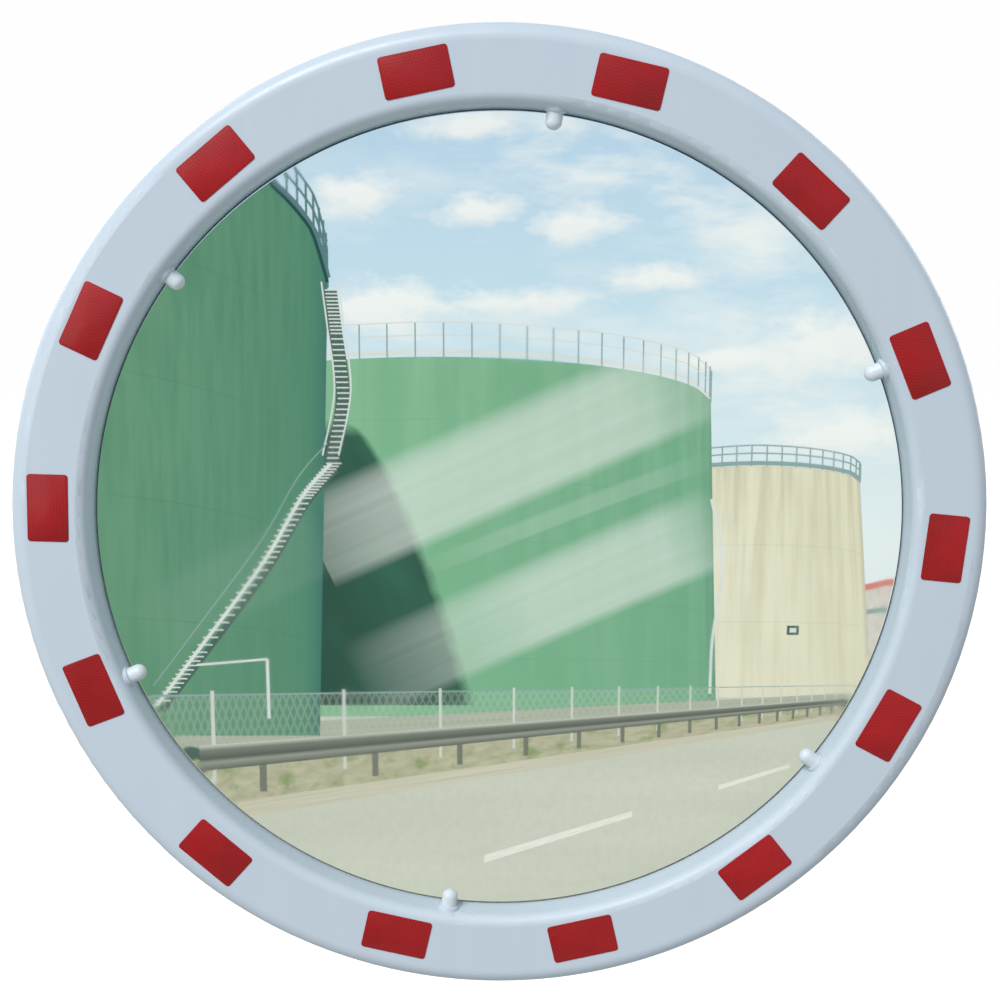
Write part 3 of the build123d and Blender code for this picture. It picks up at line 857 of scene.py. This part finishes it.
CLOUDS = (  # middle of each puff, its width and its height
    (-0.36, 0.80, 0.34, 0.16), (-0.05, 0.76, 0.34, 0.10), (0.19, 0.73, 0.36, 0.13), (0.38, 0.60, 0.36, 0.10),
    (-0.28, 0.53, 0.50, 0.20), (0.06, 0.54, 0.46, 0.09), (-0.05, 0.96, 0.60, 0.10), (0.80, 0.44, 0.60, 0.26),
    (0.86, 0.22, 0.56, 0.20), (0.55, 0.40, 0.40, 0.08), (1.30, 0.70, 0.60, 0.24), (-1.30, 1.20, 0.70, 0.30),
    (0.40, 1.30, 0.90, 0.20), (1.50, 0.20, 0.70, 0.20), (-0.60, 1.45, 0.80, 0.22),
)
cloud_white = lit("cloud", graded((236, 241, 238), (250, 251, 247)), cloud_cover)
for k, (x, z, width, height) in enumerate(CLOUDS):
    line = (x - width / 2, z), (x + width / 2, z + 0.02)
    ribbon(f"cloud_{k}", line, height, CLOUDS_AT, cloud_white)


def road_line(slope):
    """The line in the picture that leaves the vanishing point at a slope, as a function of x."""
    return lambda x: HORIZON - slope * (VANISHING_X - x)


def strip(name, slopes, distance, material, start=-WIDE, end=VANISHING_X - 0.02):
    """A band along the road between two slopes."""
    def place(s, t):
        x = start + (end - start) * s
        slope = slopes[0] + (slopes[1] - slopes[0]) * t
        return x, road_line(slope)(x)

    return cut_out(name, place, distance, material, 40, 2)


def road_paint(finish, uv, s, t):
    """Pale asphalt with faint wheel tracks."""
    fine = finish.noise(260, 3, 0.7, (1, 0.35, 1), at=uv).between(0.3, 0.7)
    broad = finish.noise(5, 3, 0.5, (0.6, 3, 1), at=uv).between(0.3, 0.7)
    worn = finish.mix(broad, tone(198, 204, 188), tone(210, 215, 200))
    return finish.mix(fine * 0.35, worn, tone(184, 190, 172))


def verge_paint(finish, uv, s, t):
    """Dry gravel with tufts of grass."""
    tufts = finish.noise(55, 4, 0.6, (1, 0.05, 1), at=uv).between(0.52, 0.68)
    dry = finish.mix(finish.noise(90, 3, 0.5, (1, 0.1, 1), at=uv).between(0.3, 0.7),
                     tone(168, 170, 142), tone(192, 190, 164))
    return finish.mix(tufts * 0.75, dry, tone(128, 152, 96))


def ground_place(s, t):
    """The ground runs from below the picture up to the horizon."""
    return WIDE * (2 * s - 1), HORIZON - 2.2 * (1 - t)


cut_out("ground", ground_place, GROUND_AT, lit("road", road_paint), 40, 24)
strip("verge", (0.150, 0.060), VERGE_AT, lit("verge", verge_paint))
strip("low_wall", (0.078, 0.053), WALL_AT, plain("low_wall", 178, 186, 168))
strip("kerb", (0.172, 0.150), KERB_AT, plain("kerb", 210, 208, 186))
white_line = plain("white_line", 238, 241, 230)
LANE_DASHES = ((1.47, 1.09), (0.87, 0.69), (0.60, 0.50), (2.60, 1.95))
for k, (left, right) in enumerate(LANE_DASHES):
    ends = VANISHING_X - left, VANISHING_X - right
    strip(f"lane_dash_{k}", (0.328, 0.314), LINES_AT, white_line, *ends)
print("road drawn to a vanishing point at", VANISHING_X, HORIZON)

# %% [markdown]
# ### Storage tanks
#
# Three large welded tanks stand behind the fence. Their tops are seen as shallow arcs, and
# their painted plates carry seams, rain stains and a shade towards the far edge.

# %% Stand up the tanks
class Tank:
    """A round tank in the picture: where its rim runs, how its edges lean, how far it is."""

    def __init__(self, name, middle, half, peak, sag, lean, base, distance):
        self.name = name
        self.middle = middle
        self.half = half
        self.peak = peak
        self.sag = sag
        self.lean = lean
        self.base = base
        self.distance = distance

    def rim(self, s, above=0.0):
        """A place on the rim, s running from its left edge at 0 to its right edge at 1."""
        across = 2 * s - 1
        drop = self.sag * (1 - math.sqrt(max(0.0, 1 - across * across)))
        return self.middle + self.half * across, self.peak - drop + above * (1 - 0.08 * abs(across))

    def wall(self, s, t):
        """A place on the wall, t running from the ground at 0 to the rim at 1."""
        bent = 0.5 - 0.5 * math.cos(math.pi * s)
        x, top = self.rim(bent)
        return x + self.lean * (2 * bent - 1) * (1 - t), self.base + t * (top - self.base)


LEFT_TANK = Tank("left_tank", -1.40, 0.983, 1.063, 0.483, -0.040, -0.55, 34)
MIDDLE_TANK = Tank("middle_tank", -0.157, 0.675, 0.413, 0.113, 0.031, -0.50, 44)
RIGHT_TANK = Tank("right_tank", 0.64, 0.252, 0.143, 0.043, 0.048, -0.45, 48)


def tank_paint(name, lit_side, shaded, edge, stain, plates, stained=0.35, turn=0.35, rain_lines=26):
    """Painted steel plates: a shade from left to right, plate seams and rain stains."""
    def paint(finish, uv, s, t):
        body = finish.mix(s.between(turn, 0.96), tone(*lit_side), tone(*shaded))
        body = finish.mix(s.between(0.90, 1.0), body, tone(*edge))
        rain = finish.noise(rain_lines, 4, 0.6, (1, 0.05, 1), at=uv).between(0.42, 0.72)
        high = t.between(0.1, 1.0) * 0.6 + 0.4
        body = finish.mix(rain * high * stained, body, tone(*stain))
        cloudy = finish.noise(5, 4, at=uv).between(0.35, 0.65)
        body = finish.mix(cloudy * 0.12, body, tone(*(c * 0.85 for c in lit_side)))
        course = (t * plates).math("FRACT").between(0.985, 1.0)
        upright = (s * plates * 2).math("FRACT").between(0.985, 1.0)
        return finish.mix(course * 0.30 + upright * 0.08, body, tone(*(c * 0.72 for c in lit_side)))

    return lit(name, paint)


PAINTS = {
    "left_tank": tank_paint("left_tank_green", (110, 158, 126), (82, 138, 114), (64, 114, 110),
                            (80, 134, 108), 5, 0.9, 0.60, 90),
    "middle_tank": tank_paint("middle_tank_green", (128, 184, 145), (114, 170, 137), (94, 146, 120),
                              (150, 196, 162), 6, 0.6),
    "right_tank": tank_paint("right_tank_beige", (229, 229, 204), (222, 221, 194), (186, 190, 170),
                             (188, 183, 154), 3, 0.8, 0.35, 24),
}
for tank in (LEFT_TANK, MIDDLE_TANK, RIGHT_TANK):
    cut_out(tank.name, tank.wall, tank.distance, PAINTS[tank.name], 60, 20)
print("tanks", list(PAINTS))

# %% [markdown]
# ### Shade and slanting light
#
# The left tank throws a curved shadow on the middle one, and two bands of hazy light slant
# across the whole picture, as sun through a gap does. Both are sheets that cover only in part.

# %% Add the shadow and the light
SHADOW_AT = MIDDLE_TANK.distance - 1
LIGHT_AT = MIDDLE_TANK.distance - 3
LEFT_LIGHT_AT = LEFT_TANK.distance - 2


def shadow_place(s, t):
    """The shadow reaches from behind the left tank to a curve that leans right as it falls."""
    fall = 1 - t
    return -0.60 + s * (0.217 + 0.326 * fall ** 0.62), 0.26 - 0.73 * fall


def shade_paint(finish, uv, s, t):
    """Dark green that is a little lighter towards the shadow's curved edge."""
    return finish.mix(finish.noise(3, 2, at=uv) * s, tone(34, 64, 58), tone(62, 116, 94))


def shade_cover(finish, uv, s, t):
    """Almost solid, with a ragged curved edge and a soft top."""
    ragged = s + (finish.noise(14, 3, at=uv) - 0.5) * 0.06
    return ragged.between(1.0, 0.93) * (t.between(1.0, 0.94) * 0.94)


tank_shade = lit("tank_shade", shade_paint, shade_cover)
cut_out("tank_shadow", shadow_place, SHADOW_AT, tank_shade, 30, 30)


def haze(name, strength, fade_in, fade_out):
    """A band of painted light: soft at its sides, drawn out in fine streaks, fading at its ends."""
    def cover(finish, uv, s, t):
        sides = t.between(0.0, 0.12) * t.between(1.0, 0.80)
        ends = s.between(*fade_in) * s.between(*fade_out)
        streaks = finish.noise(7, 2, 0.5, (0.05, 1, 1), at=uv).between(0.25, 0.7) * 0.25 + 0.75
        return sides * ends * streaks * strength

    return lit(name, graded((226, 236, 228), (232, 240, 234)), cover)


# painted light: bands of light that slant across the tanks and the sky in the mirror
upper_light_band = haze("upper_light_band", 0.56, (-0.25, 0.35), (1.0, 0.80))
lower_light_band = haze("lower_light_band", 0.55, (0.0, 0.40), (1.0, 0.75))
thin_light_band = haze("thin_light_band", 0.16, (0.0, 0.3), (1.0, 0.7))
faint_light_band = haze("faint_light_band", 0.04, (0.0, 0.4), (1.02, 0.9))
for name, line, width, distance, material in (
    ("light_upper", ((-0.46, -0.05), (-0.10, 0.11), (0.52, 0.385)), 0.255, LIGHT_AT, upper_light_band),
    ("light_lower", ((-0.36, -0.41), (0.20, -0.155), (0.56, 0.0)), 0.225, LIGHT_AT, lower_light_band),
    ("light_between", ((-0.20, -0.12), (0.20, 0.04), (0.52, 0.16)), 0.05, LIGHT_AT, thin_light_band),
    ("light_far_left", ((-0.93, -0.30), (-0.70, -0.17), (-0.43, -0.03)), 0.20, LEFT_LIGHT_AT, faint_light_band),
):
    ribbon(name, line, width, distance, material, 1)
print("shadow and light laid over the tanks")

# %% [markdown]
# ### Railings and stairs
#
# Each tank carries a railing round its rim, and a long stair winds down the left one.
# Thin ribbons make both: two rails, evenly spaced posts, and many short treads.

# %% Fit the railings and stairs
steel_light = plain("light_steel", 226, 234, 230)
# dark steel, also used for the painted shade along the upper stair
dark_metal_and_shade = plain("painted_shade_and_dark_metal", 84, 112, 102)
steel_haze = plain("hazy_steel", 148, 176, 172)
RAIL_POINTS = 24
WALKWAY = 0.14  # height of the walkway's edge, as a share of the railing's
STAIR_AT = LEFT_TANK.distance - 2
RIGHT_STAIR_AT = MIDDLE_TANK.distance - 3
PANEL_AT = RIGHT_TANK.distance - 1


def railing(tank, height, thickness, first, last, posts, material, rails):
    """Two rails and the walkway's broader edge along the rim, and posts that carry them."""
    distance = tank.distance - 0.3
    for k, share in enumerate((1.0, 0.62, WALKWAY)):
        steps = (first + (last - first) * i / RAIL_POINTS for i in range(RAIL_POINTS + 1))
        line = [tank.rim(s, height * share) for s in steps]
        wide = thickness * (3 if share == WALKWAY else 1)
        ribbon(f"{tank.name}_rail_{k}", line, wide, distance, rails, 1, 60)
    for k in range(posts + 1):
        s = 0.5 - 0.5 * math.cos(math.pi * (first + (last - first) * k / posts))
        post = tank.rim(s), tank.rim(s, height)
        ribbon(f"{tank.name}_post_{k}", post, thickness, distance, material)


railing(MIDDLE_TANK, 0.085, 0.0036, 0.15, 0.9999, 26, steel_haze, steel_light)
railing(RIGHT_TANK, 0.052, 0.0036, 0.05, 0.9999, 20, steel_haze, steel_haze)
near_steel = plain("near_steel", 96, 134, 136)
railing(LEFT_TANK, 0.11, 0.0055, 0.70, 0.9999, 15, near_steel, near_steel)
lip = [LEFT_TANK.rim(0.80 + 0.1999 * i / 12, 0.004) for i in range(13)]
ribbon("left_tank_lip", lip, 0.008, LEFT_TANK.distance - 0.5, plain("tank_lip", 44, 84, 84), 1, 40)

STAIR = ((-0.412, 0.575), (-0.400, 0.47), (-0.385, 0.311), (-0.417, 0.150), (-0.492, 0.063),
         (-0.590, -0.100), (-0.763, -0.331), (-0.868, -0.469))
UPPER_STAIR, LOWER_STAIR = STAIR[:4], STAIR[3:]


def beside(line, x_shift, z_shift):
    """The same line, moved in the picture."""
    return [(x + x_shift, z + z_shift) for x, z in line]


under, handrail = beside(LOWER_STAIR, 0.012, -0.016), beside(LOWER_STAIR, -0.008, 0.050)
# painted shade: a dark band along the upper flight, behind its rails
ribbon("stair_shade", UPPER_STAIR, 0.034, STAIR_AT + 0.6, dark_metal_and_shade, 1, 60)
ribbon("stair_side", LOWER_STAIR, 0.009, STAIR_AT + 0.2, steel_light, 1, 80)
ribbon("stair_under", under, 0.016, STAIR_AT + 0.5, dark_metal_and_shade, 1, 80)
for side in (-0.020, 0.020):
    line = beside(UPPER_STAIR, side, 0.02)
    ribbon(f"stair_rail_{side > 0}", line, 0.004, STAIR_AT + 0.2, steel_light, 1, 60)
ribbon("stair_handrail", handrail, 0.003, STAIR_AT, steel_haze, 1, 80)
TREADS = 84
STEEP_SPANS = 3  # treads are shorter on the steep upper flight
for k in range(TREADS):
    spot = k / TREADS * (len(STAIR) - 1)
    a, b = STAIR[int(spot)], STAIR[int(spot) + 1]
    x, z = (p + (q - p) * (spot % 1) for p, q in zip(a, b))
    reach = 0.018 if spot < STEEP_SPANS else 0.026
    ribbon(f"stair_tread_{k}", ((x - 0.012, z), (x + reach, z)), 0.0035, STAIR_AT + 0.1, steel_light)
ribbon("tank_panel", ((0.722, -0.275), (0.752, -0.275)), 0.024, PANEL_AT, dark_metal_and_shade)
ribbon("tank_panel_face", ((0.729, -0.275), (0.746, -0.275)), 0.012, PANEL_AT - 0.1, steel_light)
RIGHT_STAIR = ((0.525, 0.06), (0.553, -0.07), (0.553, -0.165), (0.535, -0.30), (0.532, -0.44))
ribbon("stair_right", RIGHT_STAIR, 0.007, RIGHT_STAIR_AT, steel_light, 1, 40)
print("stair with", TREADS, "treads")

# %% [markdown]
# ### Fence and guard rail
#
# A low wall with a wire fence and a steel guard rail run along the road. Their posts crowd
# together towards the vanishing point: equal steps along a road are equal steps in one over
# the distance from that point.

# %% Run the fence and the guard rail
HOUSES_AT = 50
FENCE_AT = 30
POSTS_AT = 28
RAIL_POSTS_AT = 27
RAIL_AT = 26


def posts_along(name, first, step, bottom, top, width, distance, material):
    """Evenly spaced posts along the road, each smaller the nearer it is to the vanishing point."""
    for k, number in enumerate(range(-2, 18)):
        x = VANISHING_X - 1 / (first + step * number)
        scale = VANISHING_X - x
        line = (x, HORIZON - bottom * scale), (x, HORIZON - top * scale)
        ribbon(f"{name}_{k}", line, width * scale, distance, material)


def mesh_cover(finish, uv, s, t):
    """Crossed wires, too fine to see one by one far away."""
    rising = (s * 420 + t * 5).math("PINGPONG", 1)
    falling = (s * 420 - t * 5).math("PINGPONG", 1)
    return rising.math("MAXIMUM", falling).between(0.5, 0.95) * 0.22 + 0.04


def rail_paint(finish, uv, s, t):
    """A pressed steel rail, with a painted highlight along its top and painted shade in its fold."""
    return finish.node("ValToRGB", {"stops": [
        (0.0, tone(96, 104, 96)), (0.30, tone(150, 155, 143)), (0.45, tone(92, 100, 92)),
        (0.80, tone(124, 130, 119)), (1.0, tone(200, 204, 192)),
    ]}, {0: t})


strip("fence_mesh", (0.078, 0.014), FENCE_AT,
      lit("fence_wire", graded((196, 204, 188), (206, 214, 204)), mesh_cover))
strip("fence_top", (0.0165, 0.014), FENCE_AT - 0.2, steel_haze)
strip("guard_rail", (0.107, 0.076), RAIL_AT, lit("rail_steel", rail_paint), -0.765)
RAIL_END = ((-0.75, -0.603), (-0.80, -0.597), (-0.785, -0.66), (-0.76, -0.655))
ribbon("rail_end", RAIL_END, 0.03, RAIL_AT, dark_metal_and_shade, 1)
fence_post = plain("fence_post", 214, 222, 212)
rail_post = plain("rail_post", 126, 133, 120)
posts_along("fence_post", 0.4635, 0.0846, 0.125, 0.010, 0.0045, POSTS_AT, fence_post)
posts_along("rail_post", 0.4917, 0.0806, 0.142, 0.09, 0.009, RAIL_POSTS_AT, rail_post)
ribbon("gate_post", ((-0.586, -0.349), (-0.585, -0.505)), 0.008, POSTS_AT, steel_light)
ribbon("gate_bar", ((-0.764, -0.364), (-0.586, -0.349)), 0.006, POSTS_AT, steel_light)
ribbon("houses", ((0.90, -0.30), (1.04, -0.28)), 0.27, HOUSES_AT, plain("house_wall", 222, 218, 208))
ribbon("roofs", ((0.90, -0.168), (1.04, -0.135)), 0.016, HOUSES_AT - 0.5, plain("roof", 222, 140, 128))
ribbon("windows", ((0.905, -0.23), (1.04, -0.21)), 0.012, HOUSES_AT - 0.5, steel_haze)
print("posts spaced along the road")

# %% [markdown]
# ## Studio light and floor
#
# A broad, soft sun above and to the left shapes the frame: its inner wall is dark at the top,
# where it faces down, and bright at the bottom. The mirror is left out of the lamps'
# light with light linking, so that it shows the street and no lamp. The floor is white
# and the backdrop whiter still, as in a catalogue.

# %% Light the studio
def lamp(name, kind, place, size, strength, colour=(1, 1, 1)):
    """A soft lamp aimed at the mirror's middle, which doesn't light the dome."""
    light = bpy.data.lights.new(name, kind)
    if kind == "SUN":
        light.angle = size
    else:
        light.size = size
    light.energy = strength
    light.color = colour
    source = bpy.data.objects.new(name, light)
    source.location = middle + Vector(place)
    source.rotation_mode = "QUATERNION"
    source.rotation_quaternion = (-Vector(place)).to_track_quat("-Z", "Y")
    bpy.context.scene.collection.objects.link(source)
    source.light_linking.receiver_collection = unlit


unlit = bpy.data.collections.new("dome left out")
unlit.objects.link(dome)
unlit.collection_objects[0].light_linking.link_state = "EXCLUDE"
lamp("key", "SUN", (-1.3, -2.0, 2.5), math.radians(24), 1.98, (1.0, 0.99, 0.97))
lamp("left", "AREA", (-1.6, -1.4, 0.4), 1.2, 7)
lamp("back_left", "AREA", (-2.2, 2.4, 1.4), 1.2, 38)
lamp("back_right", "AREA", (2.4, 2.4, 0.8), 2.0, 18)

world = bpy.data.worlds.new("studio")
bpy.context.scene.world = world
sky_box = Finish("studio", world)
camera_ray = sky_box.node("LightPath", output="Is Camera Ray")
glossy_ray = sky_box.node("LightPath", output="Is Glossy Ray")
height = sky_box.node("SeparateXYZ", None, {0: sky_box.node("TexCoord", output="Generated")}, output="Z")
street = sky_box.node("ValToRGB", {"stops": [
    (0.0, tone(176, 182, 170)), (0.49, tone(196, 202, 188)),
    (0.52, tone(226, 236, 238)), (1.0, tone(180, 208, 230)),
]}, {0: height * 0.5 + 0.5})
studio = sky_box.mix(glossy_ray, tone(166, 169, 172), street)
shown = sky_box.mix(camera_ray, studio, tone(254, 254, 254))
sky_box.fill(sky_box.nodes["Background"], {"Color": shown, "Strength": 1.0})


# %% Lay the floor
FLOOR_BELOW = 0.9
FLOOR_REACH = 12.0


def floor_paint():
    """Matt white paper."""
    finish = Finish("studio_floor")
    mottled = finish.noise(3, 2) * 0.2
    return finish.surface({
        "Base Color": finish.mix(mottled, tone(232, 232, 233), tone(226, 227, 229)),
        "Roughness": 0.9,
        "Emission Color": (1, 1, 1),
        "Emission Strength": 0.45,
    })


bm = bmesh.new()
low = cad_box[0][2] - FLOOR_BELOW
place = Matrix.Translation((0, 0, low))
bmesh.ops.create_grid(bm, x_segments=1, y_segments=1, size=FLOOR_REACH, matrix=place)
floor_mesh = bpy.data.meshes.new("floor")
bm.to_mesh(floor_mesh)
floor_mesh.materials.append(floor_paint())
floor = bpy.data.objects.new("floor", floor_mesh)
bpy.context.scene.collection.objects.link(floor)
floor.visible_glossy = False
floor.visible_diffuse = False
print("floor at", round(low, 3))
